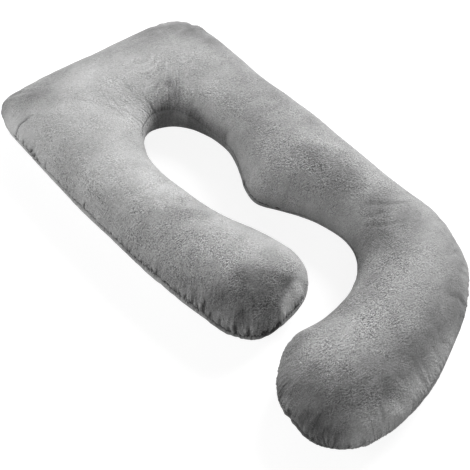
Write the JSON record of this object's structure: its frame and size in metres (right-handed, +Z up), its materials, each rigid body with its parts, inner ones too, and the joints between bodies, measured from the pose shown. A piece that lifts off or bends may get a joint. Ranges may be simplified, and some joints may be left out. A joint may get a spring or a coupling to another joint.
{
  "type": "body pillow",
  "caption": "Long stuffed body pillow in a lopsided G: a straight arm, a deep head, and a right arm that bulges inwards and hooks round below.",
  "frame": {"origin": "under the middle of the pillow's plan, on the surface that it lies on", "axes": "+X to the right seen from above with the head up, +Y toward the head, +Z up"},
  "size_m": [0.702, 1.4626, 0.177],
  "materials": {
    "velour_cover": "matte grey short-pile velour"
  },
  "bodies": {
    "root": {"pillow": "velour_cover"}
  },
  "joints": []
}
